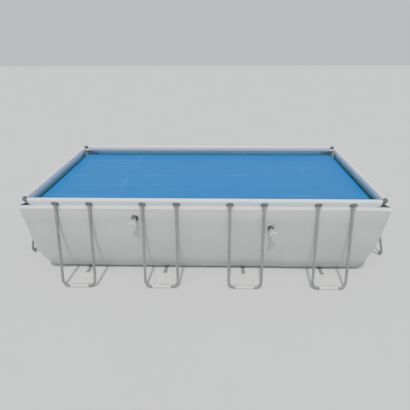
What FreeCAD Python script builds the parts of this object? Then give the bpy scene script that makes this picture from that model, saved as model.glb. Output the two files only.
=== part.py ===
import FreeCAD, Part
import os
import re
import Sketcher

# Above-ground steel-frame pool with a floating solar cover. Millimetres.
# +X runs along the long side, +Y away from the valve side, +Z up.
# The origin is on the ground, under the middle of the pool.

X = FreeCAD.Vector(1, 0, 0)
Y = FreeCAD.Vector(0, 1, 0)
Z = FreeCAD.Vector(0, 0, 1)

doc = FreeCAD.newDocument("frame_pool")

# ---------------------------------------------------------------- sizes

SIZES = {
    # overall
    "pool_length": 5490,
    "pool_width": 2740,
    "rail_height": 1320,
    # top rail
    "beam_radius": 30,
    "beam_wall": 1.2,
    "beam_gap": 0.4,
    "spigot_length": 60,
    "spigot_slack": 0.1,
    "corner_reach": 115,
    "corner_radius": 31.5,
    "corner_bend": 62,
    # side supports
    "leg_radius": 22.5,
    "leg_wall": 1.2,
    "leg_spacing": 514,
    "leg_bend": 100,
    "foot_reach": 480,
    "foot_level": 25.5,
    "hole_slack": 0.4,
    # collar at the top of each leg
    "collar_width": 100,
    "collar_depth": 50,
    "collar_height": 40,
    "collar_drop": 38,
    # spring clips and their buttons
    "clip_width": 12,
    "clip_thick": 1,
    "clip_length": 90,
    "clip_reach": 11,
    "button_radius": 4,
    "button_stand": 4,
    "button_drop": 6,
    "button_travel": 4,
    "pin_strip_drop": 18,
    "pin_stand": 3,
    "pin_travel": 5,
    # liner
    "sleeve_radius": 33,
    "ply_thick": 3,
    "seam_height": 1200,
    "band_slack": 0.6,
    "window_slack": 1.5,
    # straps that hold the feet in
    "strap_width": 290,
    "strap_thick": 2.4,
    "strap_lift": 0.1,
    "notch_width": 70,
    "rod_reach": 100,
    "rod_radius": 6,
    "rod_overhang": 8,
    # floating cover
    "cover_gap": 10,
    "cover_level": 1137,
    "cover_thick": 5,
    "cover_corner": 70,
    # plunger valves on the front wall
    "valve_spread": 1030,
    "valve_high": 1030,
    "valve_low": 880,
    "valve_stand": 100,
    "pad_radius": 60,
    "pad_thick": 32,
    "pad_proud": 10,
    "neck_radius": 24,
    "neck_bore": 19,
    "neck_reach": 46,
    "barrel_radius": 27,
    "barrel_bore": 23.5,
    "barrel_height": 124,
    "inlet_rise": 12,
    "outlet_fall": 38,
    "port_radius": 19,
    "port_bore": 16,
    "port_shoulder": 30,
    "inlet_bore": 13,
    "port_length": 85,
    "stem_radius": 6,
    "stem_slack": 0.06,
    "knob_radius": 37,
    "knob_height": 50,
    "nut_radius": 36,
    # drain fitting low on the back wall
    "drain_level": 300,
    "drain_radius": 20,
    "drain_patch": 26,
    "drain_cap_radius": 27,
}

# Wall stations from the ground up: height, how far the wall stands outside
# the rail's centre line, and the radius of the pool's corners there.
STATIONS = {
    "foot": (3, -105, 160),
    "turn": (50, -50, 170),
    "low": (170, 15, 170),
    "knee": (400, 60, 150),
    "waist": (650, 78, 120),
    "swell": (880, 70, 90),
    "chest": (1040, 56, 60),
    "band": (1152, 16, 30),
    "seam": (1200, 0, 25),
}

sheet = doc.addObject("Spreadsheet::Sheet", "Sizes")
cells = dict(SIZES)
for station, (height, offset, radius) in STATIONS.items():
    cells[station + "_height_z"] = height
    cells[station + "_offset"] = offset
    cells[station + "_corner"] = radius
for row, (alias, value) in enumerate(cells.items(), start=1):
    sheet.set("A%d" % row, alias)
    sheet.set("B%d" % row, str(value))
    sheet.setAlias("B%d" % row, alias)
doc.recompute()

# Places worked out from the sizes.
RAIL_X = "(pool_length/2 - sleeve_radius)"
RAIL_Y = "(pool_width/2 - sleeve_radius)"
RAIL_Z = "(rail_height - sleeve_radius)"
LONG_BEAM = "((pool_length - 2*corner_reach)/4)"
SHORT_BEAM = "((pool_width - 2*corner_reach)/2)"
LEG_RUN = "(%s - foot_level)" % RAIL_Z
LEG_LENGTH = "sqrt(foot_reach^2 + %s^2)" % LEG_RUN
LEG_LEAN = "atan(foot_reach/%s)" % LEG_RUN

# Each side: turn about Z from the front side, beams in it, beam length,
# and the distance of its rail from the middle of the pool.
SIDES = {
    "front": (0, 4, LONG_BEAM, RAIL_Y),
    "back": (180, 4, LONG_BEAM, RAIL_Y),
    "left": (-90, 2, SHORT_BEAM, RAIL_X),
    "right": (90, 2, SHORT_BEAM, RAIL_X),
}


# -------------------------------------------------------------- helpers

def formula(text):
    """Turn size names into references to the sheet."""
    return re.sub(r"[a-z]+(?:_[a-z]+)+", lambda word: "Sizes." + word.group(0), str(text))


def bind(thing, **values):
    for name, text in values.items():
        thing.setExpression(name, formula(text))
    return thing


def place(thing, x=0, y=0, z=0, turn=None):
    """Move a finished object: its position is bound to the sheet."""
    thing.Placement = FreeCAD.Placement(FreeCAD.Vector(), turn or FreeCAD.Rotation())
    for axis, text in (("x", x), ("y", y), ("z", z)):
        if text != 0:
            thing.setExpression("Placement.Base." + axis, formula(text))
    return thing


TURNS = {
    "x": FreeCAD.Rotation(Y, 90),
    "y": FreeCAD.Rotation(X, -90),
    "z": FreeCAD.Rotation(),
}


def cylinder(label, radius, height, along="z", x=0, y=0, z=0):
    """A cylinder that starts at x, y, z and runs along an axis."""
    thing = bind(doc.addObject("Part::Cylinder", label), Radius=radius, Height=height)
    return place(thing, x, y, z, TURNS[along])


def box(label, width, depth, height, x=0, y=0, z=0):
    """A box centred on x and y that starts at z."""
    thing = bind(doc.addObject("Part::Box", label), Length=width, Width=depth, Height=height)
    return place(thing, "%s - (%s)/2" % (x, width), "%s - (%s)/2" % (y, depth), z)


def fuse(label, *shapes):
    thing = doc.addObject("Part::MultiFuse", label)
    thing.Shapes = list(shapes)
    return thing


def cut(label, base, *tools):
    thing = doc.addObject("Part::Cut", label)
    thing.Base = base
    thing.Tool = tools[0] if len(tools) == 1 else fuse(label + " tools", *tools)
    return thing


def common(label, first, second):
    thing = doc.addObject("Part::Common", label)
    thing.Base = first
    thing.Tool = second
    return thing


def group(label, *shapes, x=0, y=0, z=0, turn=None):
    """Copy shapes together to a new place."""
    thing = doc.addObject("Part::Compound", label)
    thing.Links = list(shapes)
    return place(thing, x, y, z, turn)


def pipe(label, radius, bore, length, along="z", x=0, y=0, z=0):
    outside = cylinder(label + " outside", radius, length, along, x, y, z)
    inside = cylinder(label + " inside", bore, length, along, x, y, z)
    return cut(label, outside, inside)


def at_side(side, along):
    """Where a point on a side's rail lies, measured from left to right."""
    turn, beams, beam, rail = SIDES[side]
    spots = {
        "front": (along, "-" + rail),
        "back": ("-(%s)" % along, rail),
        "left": ("-" + rail, "-(%s)" % along),
        "right": (rail, along),
    }
    return spots[side]


def on_side(label, side, number, *shapes, z=0):
    """Copy shapes to the middle of one beam, facing out of the pool."""
    turn, beams, beam, rail = SIDES[side]
    along = "%s*(%s)" % (beam, number - (beams + 1) / 2)
    x, y = at_side(side, along)
    return group(label, *shapes, x=x, y=y, z=z, turn=FreeCAD.Rotation(Z, turn))


def every_beam():
    for side, (turn, beams, beam, rail) in SIDES.items():
        for number in range(1, beams + 1):
            yield side, number


def rounded_sheet(label, half_x, half_y, radius, level):
    """A sketch of a rectangle with round corners, centred, at a height."""
    sketch = doc.addObject("Sketcher::SketchObject", label)
    a, b, r = 2600.0, 1300.0, 100.0
    arc_middles = [(a - r, -b + r, -90), (a - r, b - r, 0), (-a + r, b - r, 90), (-a + r, -b + r, 180)]
    ends = [
        (-a + r, -b, a - r, -b),
        (a, -b + r, a, b - r),
        (a - r, b, -a + r, b),
        (-a, b - r, -a, -b + r),
    ]
    for (x0, y0, x1, y1), (cx, cy, start) in zip(ends, arc_middles):
        sketch.addGeometry(Part.LineSegment(FreeCAD.Vector(x0, y0, 0), FreeCAD.Vector(x1, y1, 0)))
        circle = Part.Circle(FreeCAD.Vector(cx, cy, 0), Z, r)
        first = start * 3.141592653589793 / 180
        sketch.addGeometry(Part.ArcOfCircle(circle, first, first + 3.141592653589793 / 2))
    for line in (0, 2, 4, 6):
        arc, after = line + 1, (line + 2) % 8
        sketch.addConstraint(Sketcher.Constraint("Tangent", line, 2, arc, 1))
        sketch.addConstraint(Sketcher.Constraint("Tangent", arc, 2, after, 1))
    for line in (0, 4):
        sketch.addConstraint(Sketcher.Constraint("Horizontal", line))
    for line in (2, 6):
        sketch.addConstraint(Sketcher.Constraint("Vertical", line))
    for arc in (3, 5, 7):
        sketch.addConstraint(Sketcher.Constraint("Equal", 1, arc))
    sketch.addConstraint(Sketcher.Constraint("Symmetric", 0, 1, 4, 1, -1, 1))
    width = sketch.addConstraint(Sketcher.Constraint("DistanceX", 6, 1, 2, 1, 2 * a))
    depth = sketch.addConstraint(Sketcher.Constraint("DistanceY", 0, 1, 4, 1, 2 * b))
    corner = sketch.addConstraint(Sketcher.Constraint("Radius", 1, r))
    sketch.setExpression("Constraints[%d]" % width, formula("2*(%s)" % half_x))
    sketch.setExpression("Constraints[%d]" % depth, formula("2*(%s)" % half_y))
    sketch.setExpression("Constraints[%d]" % corner, formula(radius))
    return place(sketch, z=level)


def extrude(label, sketch, height, direction=Z):
    thing = doc.addObject("Part::Extrusion", label)
    thing.Base = sketch
    thing.DirMode = "Custom"
    thing.Dir = direction
    thing.Solid = True
    thing.FaceMakerClass = "Part::FaceMakerBullseye"
    return bind(thing, LengthFwd=height)


def loft(label, sections):
    thing = doc.addObject("Part::Loft", label)
    thing.Sections = sections
    thing.Solid = True
    thing.Ruled = True
    return thing


# --------------------------------------------------------- side supports
# Built once with the leg tops on the rail's centre line, legs straight
# down, then leaned outward and copied to the middle of each beam.

def u_tube(label, radius):
    half = "leg_spacing/2"
    straight = "%s - leg_bend" % LEG_LENGTH
    bends = []
    for name, side, turn in (("right", 1, FreeCAD.Rotation(X, -90)),
                             ("left", -1, FreeCAD.Rotation(Z, 180) * FreeCAD.Rotation(X, -90))):
        bend = doc.addObject("Part::Torus", label + " " + name + " bend")
        bind(bend, Radius1="leg_bend", Radius2=radius)
        bend.Angle3 = 90
        bends.append(place(bend, "%d*(%s - leg_bend)" % (side, half), 0, "-(%s)" % straight, turn))
    legs = [cylinder(label + " leg", radius, straight, "z", "%d*%s" % (side, half), 0, "-(%s)" % straight)
            for side in (-1, 1)]
    foot = cylinder(label + " foot", radius, "leg_spacing - 2*leg_bend", "x",
                    "leg_bend - %s" % half, 0, "-" + LEG_LENGTH)
    return fuse(label, *legs, *bends, foot)


support_tube = cut("support tube", u_tube("support outside", "leg_radius"),
                   u_tube("support bore", "leg_radius - leg_wall"))


def leg_pair(label, maker):
    """Make the same thing on the left and the right leg."""
    return [maker("%s %s" % (label, name), "%d*leg_spacing/2" % side, side)
            for name, side in (("left", -1), ("right", 1))]


def button_holes(label, x, side):
    return cylinder(label, "button_radius + hole_slack", "3*leg_radius", "x",
                    "%s - 1.5*leg_radius" % x, 0, "-button_drop")


support = cut("support", support_tube, *leg_pair("button hole", button_holes))


def leaned(label, *shapes):
    """Lean the leg tops' frame outward about the rail's centre line."""
    thing = group(label, *shapes, turn=FreeCAD.Rotation(X, -20))
    thing.setExpression("Placement.Rotation.Angle", formula("-" + LEG_LEAN))
    thing.setExpression("Placement.Base.z", formula(RAIL_Z))
    return thing


leaned_support = leaned("leaned support", support)
for side, number in every_beam():
    on_side("support_%s_%d" % (side, number), side, number, leaned_support)


# Plastic collars on the legs, right under the beam.
def collar(label, x, side):
    block = box(label + " block", "collar_width", "collar_depth", "collar_height", x, 0,
                "-collar_drop - collar_height")
    hole = cylinder(label + " hole", "leg_radius + hole_slack/2", "collar_height", "z", x, 0,
                    "-collar_drop - collar_height")
    rounded = doc.addObject("Part::Chamfer", label + " chamfered")
    rounded.Base = block
    doc.recompute()
    upright = [index + 1 for index, edge in enumerate(block.Shape.Edges)
               if abs(edge.tangentAt(edge.FirstParameter).z) > 0.99]
    rounded.Edges = [(index, 12.0, 12.0) for index in upright]
    return cut(label, rounded, hole)


leaned_collars = leaned("leaned collars", *leg_pair("collar", collar))
group("leg_collars", *[on_side("collars " + side + str(number), side, number, leaned_collars)
                       for side, number in every_beam()])


# --------------------------------------------------- spring clips, buttons
# A steel strip bent to a hairpin inside each leg top pushes two round
# buttons out through the leg, and they lock it in the beam. The strips
# stay straight here, so each button's inner end is clear of its strip
# by the button's travel.

def hairpin(label, x, z_top, drop, x_reach):
    """Two strips joined by a bridge at the bottom."""
    arms = [box("%s arm %d" % (label, side), "clip_thick", "clip_width", drop,
                "%s + %d*(%s)" % (x, side, x_reach), 0, "%s - (%s)" % (z_top, drop))
            for side in (-1, 1)]
    bridge = box(label + " bridge", "2*(%s) + clip_thick" % x_reach, "clip_width", "clip_thick",
                 x, 0, "%s - (%s) - clip_thick" % (z_top, drop))
    return fuse(label, *arms, bridge)


def leg_clip(label, x, side):
    return hairpin(label, x, "0", "clip_length", "clip_reach")


def leg_button(label, x, facing):
    inner = "clip_reach + clip_thick/2 + button_travel + 0.2"
    start = "%s + %d*(%s)" % (x, facing, inner)
    length = "leg_radius + button_stand - (%s)" % inner
    if facing < 0:
        start = "%s - (%s)" % (start, length)
    return cylinder(label, "button_radius", length, "x", start, 0, "-button_drop")


leaned_clips = leaned("leaned clips", *leg_pair("leg clip", leg_clip))
leaned_buttons = {
    facing: leaned("leaned buttons", *leg_pair("button", lambda label, x, side: leg_button(label, x, facing)))
    for facing in (-1, 1)
}

# Buttons that face the same way travel together, one group for each way.
FACING = {
    "leg_buttons_left": (("front", -1), ("back", 1)),
    "leg_buttons_right": (("front", 1), ("back", -1)),
    "leg_buttons_front": (("left", 1), ("right", -1)),
    "leg_buttons_back": (("left", -1), ("right", 1)),
}
for label, members in FACING.items():
    copies = []
    for side, facing in members:
        for number in range(1, SIDES[side][1] + 1):
            copies.append(on_side("%s %s %d" % (label, side, number), side, number, leaned_buttons[facing]))
    group(label, *copies)


# ------------------------------------------------------------------ beams
# Swaged tubes: each has a spigot that slides into the next beam, except
# the last of a side. Two holes underneath take the leg tops.

def leg_path(label, slack, length):
    return [cylinder("%s %d" % (label, side), "leg_radius + %s" % slack, "%s + hole_slack" % length, "z",
                     "%d*leg_spacing/2" % side, 0, "-(%s)" % length) for side in (-1, 1)]


def level(label, *shapes):
    """The leaned frame without the rise to rail height."""
    thing = group(label, *shapes, turn=FreeCAD.Rotation(X, -20))
    thing.setExpression("Placement.Rotation.Angle", formula("-" + LEG_LEAN))
    return thing


leg_holes = level("leg holes", *leg_path("leg hole", "hole_slack", "60"))


def beam(label, length, spigot):
    start = "beam_gap/2 - (%s)/2" % length
    body = "%s - beam_gap" % length
    bore = "beam_radius - beam_wall"
    neck = "%s - spigot_slack" % bore
    parts = [cylinder(label + " outside", "beam_radius", body, "x", start)]
    holes = [cylinder(label + " inside", bore, body + " - %d*5*beam_wall" % spigot, "x", start)]
    if spigot:
        parts.append(cylinder(label + " spigot", neck, body + " + spigot_length", "x", start))
        holes.append(cylinder(label + " spigot bore", neck + " - beam_wall", body + " + spigot_length",
                              "x", start))
    outside = fuse(label + " body", *parts) if spigot else parts[0]
    pin = "button_radius + hole_slack"
    ends = [-1] + ([1] if not spigot else [])
    for end in ends:
        holes.append(cylinder(label + " pin hole", pin, "2*beam_radius", "z",
                              "%d*((%s)/2 - spigot_length/2)" % (end, length), 0, "-2*beam_radius"))
    if spigot:
        holes.append(cylinder(label + " spigot pin hole", pin, "2*beam_radius", "z",
                              "(%s)/2 + spigot_length/2" % length, 0, "-2*beam_radius"))
    return cut(label, outside, *holes, leg_holes)


BEAMS = {(length, spigot): beam("beam %s %d" % (name, spigot), length, spigot)
         for name, length in (("long", LONG_BEAM), ("short", SHORT_BEAM)) for spigot in (0, 1)}
for side, number in every_beam():
    turn, beams, length, rail = SIDES[side]
    spigot = int(number < beams)
    on_side("beam_%s_%d" % (side, number), side, number, BEAMS[(length, spigot)], z=RAIL_Z)


# Moulded elbows at the four corners, plugged into the beams' ends.
def elbow(label, radius, plug):
    bend = doc.addObject("Part::Torus", label + " bend")
    bind(bend, Radius1="corner_bend", Radius2=radius)
    bend.Angle3 = 90
    place(bend, "corner_bend", "corner_bend", 0, FreeCAD.Rotation(Z, 180))
    reach = "corner_reach - sleeve_radius"
    pieces = [bend]
    for along in "xy":
        spot = {along: "corner_bend"}
        pieces.append(cylinder(label + " arm", radius, "%s - corner_bend - beam_gap/2" % reach,
                               along, **spot))
        pieces.append(cylinder(label + " plug", plug, "%s - corner_bend + spigot_length" % reach,
                               along, **spot))
    return fuse(label, *pieces)


def plug_holes(label):
    middle = "corner_reach - sleeve_radius + spigot_length/2"
    return [cylinder(label, "button_radius + hole_slack", "2*beam_radius", "z", x, y, "-2*beam_radius")
            for x, y in ((middle, 0), (0, middle))]


PLUG = "beam_radius - beam_wall - spigot_slack"
corner = cut("corner", elbow("corner outside", "corner_radius", PLUG),
             elbow("corner bore", PLUG + " - 3", PLUG + " - 3"), *plug_holes("plug pin hole"))
CORNERS = {
    "front_left": ("-" + RAIL_X, "-" + RAIL_Y, 0),
    "front_right": (RAIL_X, "-" + RAIL_Y, 90),
    "back_right": (RAIL_X, RAIL_Y, 180),
    "back_left": ("-" + RAIL_X, RAIL_Y, -90),
}
for name, (x, y, turn) in CORNERS.items():
    group("corner_joint_" + name, corner, x=x, y=y, z=RAIL_Z, turn=FreeCAD.Rotation(Z, turn))

# One spring button under every joint of the rail: in each beam's spigot
# and in each plug of the corner joints. The strips lie along the tube.
def pin_strip(label, x, y, wide, deep):
    return box(label, wide, deep, "clip_thick", x, y, "%s - pin_strip_drop" % RAIL_Z)


def pin_button(label, x, y):
    tip = "%s - beam_radius - pin_stand" % RAIL_Z
    length = "beam_radius + pin_stand - pin_strip_drop - pin_travel - 0.2"
    return cylinder(label, "button_radius", length, "z", x, y, tip)


strips, pins = [], []
for side, (turn, beams, length, rail) in SIDES.items():
    spots = ["%s*(%s) + spigot_length/2" % (length, number - beams / 2) for number in range(beams)]
    spots.append("%s*%d/2 - spigot_length/2" % (length, beams))
    wide, deep = ("40", "clip_width") if turn in (0, 180) else ("clip_width", "40")
    for number, along in enumerate(spots):
        x, y = at_side(side, along)
        strips.append(pin_strip("strip %s %d" % (side, number), x, y, wide, deep))
        pins.append(pin_button("pin %s %d" % (side, number), x, y))
group("rail_buttons", *pins)
leg_clip_copies = [on_side("clips " + side + str(number), side, number, leaned_clips)
                   for side, number in every_beam()]
group("spring_clips", *leg_clip_copies, *strips)


# ------------------------------------------------------------------ liner
# Welded PVC. The walls hang from the rail and swell where water pushes
# them out; they are cut at the corners into four pieces, with the floor
# as a fifth, so that each piece has a plain shape.

def station_section(name, out):
    height, offset, corner_size = ["%s_%s" % (name, what) for what in ("height_z", "offset", "corner")]
    return rounded_sheet("%s section %s" % (name, out), "%s + %s + %s" % (RAIL_X, offset, out),
                         "%s + %s + %s" % (RAIL_Y, offset, out), "%s + %s" % (corner_size, out), height)


def shell_between(label, names, outer, inner):
    outside = loft(label + " outside", [station_section(name, outer) for name in names])
    inside = loft(label + " inside", [station_section(name, inner) for name in names])
    return cut(label, outside, inside)


wall_ring = shell_between("wall ring", list(STATIONS), "0", "-ply_thick")
band_ring = shell_between("band ring", ["band", "seam"], "band_slack + ply_thick", "band_slack")


# The plan is mitred at 45 degrees from the corners. A wedge takes a long
# side, and each short side is what the two wedges leave at its end.
def long_wedge(side, turn):
    wedge = bind(doc.addObject("Part::Wedge", side + " wedge"),
                 Xmin="-(%s) - 400" % RAIL_X, Xmax="%s + 400" % RAIL_X,
                 X2min="%s - %s" % (RAIL_Y, RAIL_X), X2max="%s - %s" % (RAIL_X, RAIL_Y),
                 Ymin="-(%s) - 400" % RAIL_Y, Ymax="0", Zmin="-10", Zmax="2000", Z2min="-10", Z2max="2000")
    return group(side + " region", wedge, turn=FreeCAD.Rotation(Z, turn))


def end_box(side, sign):
    return box(side + " box", "pool_length", "2*pool_width", "2010", "%d*pool_length/2" % sign, 0, "-10")


long_regions = {"front": long_wedge("front", 0), "back": long_wedge("back", 180)}
end_regions = {"left": end_box("left", -1), "right": end_box("right", 1)}


def side_piece(label, ring, side):
    if side in long_regions:
        return common(label, ring, long_regions[side])
    rest = cut(label + " rest", ring, long_regions["front"], long_regions["back"])
    return common(label, rest, end_regions[side])


# Sleeves: the liner is folded over the rail and welded back on itself.
def sleeve_section(label, radius, tip_half, tip_z):
    """A drop shape: an arc over the tube and two straight plies below."""
    sketch = doc.addObject("Sketcher::SketchObject", label)
    r, t, d = 33.0, 3.0, 87.0
    sketch.addGeometry(Part.ArcOfCircle(Part.Circle(FreeCAD.Vector(), Z, r), -0.35, 3.49))
    sketch.addGeometry(Part.LineSegment(FreeCAD.Vector(-31, -11, 0), FreeCAD.Vector(-t, -d, 0)))
    sketch.addGeometry(Part.LineSegment(FreeCAD.Vector(-t, -d, 0), FreeCAD.Vector(t, -d, 0)))
    sketch.addGeometry(Part.LineSegment(FreeCAD.Vector(t, -d, 0), FreeCAD.Vector(31, -11, 0)))
    sketch.addConstraint(Sketcher.Constraint("Coincident", 0, 3, -1, 1))
    sketch.addConstraint(Sketcher.Constraint("Tangent", 0, 2, 1, 1))
    sketch.addConstraint(Sketcher.Constraint("Coincident", 1, 2, 2, 1))
    sketch.addConstraint(Sketcher.Constraint("Coincident", 2, 2, 3, 1))
    sketch.addConstraint(Sketcher.Constraint("Tangent", 3, 2, 0, 1))
    sketch.addConstraint(Sketcher.Constraint("Symmetric", 2, 1, 2, 2, -2))
    size = sketch.addConstraint(Sketcher.Constraint("Radius", 0, r))
    tip = sketch.addConstraint(Sketcher.Constraint("DistanceX", 2, 1, 2, 2, 2 * t))
    drop = sketch.addConstraint(Sketcher.Constraint("DistanceY", 2, 2, -1, 1, d))
    sketch.setExpression("Constraints[%d]" % size, formula(radius))
    sketch.setExpression("Constraints[%d]" % tip, formula("2*(%s)" % tip_half))
    sketch.setExpression("Constraints[%d]" % drop, formula(tip_z))
    return sketch


drop_to_seam = "%s - seam_height" % RAIL_Z
drop_outside = sleeve_section("sleeve outside", "sleeve_radius", "ply_thick + band_slack", drop_to_seam)
drop_inside = sleeve_section("sleeve inside", "sleeve_radius - ply_thick + 0.5", "0.4",
                             drop_to_seam + " - ply_thick")
ALONG_X = FreeCAD.Rotation(Z, 90) * FreeCAD.Rotation(X, 90)
for section in (drop_outside, drop_inside):
    section.Placement = FreeCAD.Placement(FreeCAD.Vector(), ALONG_X)

leaned_windows = level("leg windows", *leg_path("leg window", "window_slack", "130"),
                       *[box("collar window %d" % side, "collar_width + 2*window_slack",
                             "collar_depth + 2*window_slack", "collar_height + 2*window_slack",
                             "%d*leg_spacing/2" % side, 0, "-collar_drop - collar_height - window_slack")
                         for side in (-1, 1)])

for side, (turn, beams, length, rail) in SIDES.items():
    run = "%s*%d - 1" % (length, beams)
    outside = extrude("sleeve outside " + side, drop_outside, run, X)
    inside = extrude("sleeve inside " + side, drop_inside, run, X)
    tube = cut("sleeve tube " + side, outside, inside)
    centred = group("sleeve centred " + side, tube, x="-(%s)/2" % run)
    windows = [group("windows %s %d" % (side, number), leaned_windows,
                     x="%s*(%s)" % (length, number - (beams + 1) / 2)) for number in range(1, beams + 1)]
    open_tube = cut("sleeve open " + side, centred, *windows)
    x, y = at_side(side, "0")
    hung = group("sleeve hung " + side, open_tube, x=x, y=y, z=RAIL_Z, turn=FreeCAD.Rotation(Z, turn))
    fuse("liner_sleeve_" + side, hung, side_piece("band " + side, band_ring, side))


# Fittings through the walls sit on flat welded patches.
def patch(label, x, y, z, radius="pad_radius", thick="pad_thick"):
    return cylinder(label, radius, thick, "y", x, y, z)


def patch_face(height):
    """How far a patch's outer face is from the middle of the pool."""
    return {"valve_high": "(%s + chest_offset + pad_proud)" % RAIL_Y,
            "valve_low": "(%s + swell_offset + pad_proud)" % RAIL_Y,
            "drain_level": "(%s + (low_offset + knee_offset + drain_patch)/2)" % RAIL_Y}[height]


VALVES = {
    "left": ("-valve_spread", "valve_high", -1),
    "right": ("valve_spread", "valve_low", 1),
}
front_pads, front_holes = [], []
for name, (x, height, port_side) in VALVES.items():
    face = "-%s" % patch_face(height)
    front_pads.append(patch(name + " patch", x, face, height))
    front_holes.append(cylinder(name + " wall hole", "neck_radius + hole_slack", "pad_thick + 4", "y",
                                x, face + " - 2", height))
drain_face = patch_face("drain_level")
back_pad = patch("drain patch", 0, drain_face + " - drain_patch", "drain_level", "40", "drain_patch")
back_hole = cylinder("drain wall hole", "drain_radius + hole_slack", "drain_patch + 4", "y",
                     0, drain_face + " - drain_patch - 2", "drain_level")

plain_front = side_piece("front wall plain", wall_ring, "front")
cut("liner_wall_front", fuse("front wall patched", plain_front, *front_pads), *front_holes)
plain_back = side_piece("back wall plain", wall_ring, "back")
cut("liner_wall_back", fuse("back wall patched", plain_back, back_pad), back_hole)
side_piece("liner_wall_left", wall_ring, "left")
side_piece("liner_wall_right", wall_ring, "right")

# Floor, with a tab and a rod pocket for every strap.
floor_plate = extrude("floor plate", rounded_sheet("floor section", RAIL_X + " + foot_offset",
                                                   RAIL_Y + " + foot_offset", "foot_corner", "0"),
                      "foot_height_z")
ROD_Z = "(rod_radius + 0.5 + strap_thick + strap_lift)"
POCKET = "rod_radius + 0.5"


def loop_and_tail(label, width, loop_radius, y, z, tail_from, tail_to):
    """A strap end: a ring round a bar and a flat tail on the ground."""
    start = "-(%s)/2" % width
    ring = cylinder(label + " ring", "%s + strap_thick" % loop_radius, width, "x", start, y, z)
    tail = box(label + " tail", width, "%s - (%s)" % (tail_to, tail_from), "strap_thick", 0,
               "(%s + %s)/2" % (tail_to, tail_from), "strap_lift")
    hole = cylinder(label + " eye", loop_radius, width, "x", start, y, z)
    return ring, tail, hole


ring, tail, hole = loop_and_tail("tab", "notch_width - 6", POCKET, "-rod_reach", ROD_Z,
                                 "-rod_reach", "60 - foot_offset")
tab = cut("tab", fuse("tab body", ring, tail), hole)
tabs = [on_side("tab %s %d" % (side, number), side, number, tab) for side, number in every_beam()]
fuse("liner_floor", floor_plate, *tabs)

# Straps: one loop holds the support's foot bar, the other the rod.
foot_parts = loop_and_tail("foot end", "strap_width", "leg_radius + 0.5", "-foot_reach", "foot_level",
                           "-foot_reach", "-rod_reach")
rod_parts = loop_and_tail("rod end", "strap_width", POCKET, "-rod_reach", ROD_Z,
                          "-rod_reach - 20", "-rod_reach")
notch = box("notch", "notch_width", "50", "60", 0, "-rod_reach + 5", "-10")
strap = cut("strap", fuse("strap body", foot_parts[0], foot_parts[1], rod_parts[0]),
            foot_parts[2], rod_parts[2], notch)
rod = cylinder("rod", "rod_radius", "strap_width + 2*rod_overhang", "x",
               "-strap_width/2 - rod_overhang", "-rod_reach", ROD_Z)
group("restraint_straps", *[on_side("strap %s %d" % (side, number), side, number, strap)
                            for side, number in every_beam()])
group("connecting_rods", *[on_side("rod %s %d" % (side, number), side, number, rod)
                           for side, number in every_beam()])


# ----------------------------------------------------------- solar cover
# One sheet that floats on the water, clear of the rail all round.

cover_half_x = RAIL_X + " - sleeve_radius - cover_gap"
cover_half_y = RAIL_Y + " - sleeve_radius - cover_gap"
extrude("solar_cover", rounded_sheet("cover section", cover_half_x, cover_half_y, "cover_corner",
                                     "cover_level"), "cover_thick")


# -------------------------------------------------------- plunger valves
# Built once with the patch's outer face at y = 0 and the wall behind it.
# From the inside out: strainer connector, washers, lock nut, union nut,
# barrel with a hose port, plunger, knob.

def grip_ring(label, radius, bore, length, y, teeth=12):
    """A moulded nut with rounded grips round it."""
    body = pipe(label + " ring", radius, bore, length, "y", 0, y)
    grips = []
    for tooth in range(teeth):
        grip = cylinder(label + " grip", "3.5", length, "y", "%s - 1" % radius, y)
        grips.append(group(label + " turned grip", grip, turn=FreeCAD.Rotation(Y, 360.0 * tooth / teeth)))
    return fuse(label, body, *grips)


slack = "0.3"
flange = cylinder("strainer flange", "50", "6", "y", 0, "pad_thick + 2")
neck = cylinder("strainer neck", "neck_radius", "neck_reach + pad_thick + 2", "y", 0, "-neck_reach")
neck_hole = cylinder("strainer bore", "neck_bore", "neck_reach + pad_thick + 2", "y", 0, "-neck_reach")
slots = [box("strainer slot", "4", "20", "24", "%d*9" % step, "pad_thick + 4", "-12") for step in (-1, 0, 1)]
connector = cut("connector", fuse("connector body", flange, neck), neck_hole, *slots)
washers = [pipe("washer", "44", "neck_radius + %s" % slack, "2", "y", 0, y) for y in ("-2", "pad_thick")]
lock_nut = grip_ring("lock nut", "43", "neck_radius + %s" % slack, "12", "-14")

nut_front = pipe("nut front", "nut_radius", "neck_radius + %s" % slack, "20", "y", 0, "-neck_reach")
nut_recess = pipe("nut recess", "nut_radius", "27.6", "7", "y", 0, "-neck_reach - 7")
nut_lip = pipe("nut lip", "nut_radius", "21.6", "4", "y", 0, "-neck_reach - 11")
nut_grip = cylinder("nut grip", "3.5", "31", "y", "nut_radius - 1", "-neck_reach - 11")
nut_grips = [group("nut grip turned", nut_grip, turn=FreeCAD.Rotation(Y, 30.0 * tooth))
             for tooth in range(12)]
union_nut = fuse("union nut", nut_front, nut_recess, nut_lip, *nut_grips)

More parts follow.
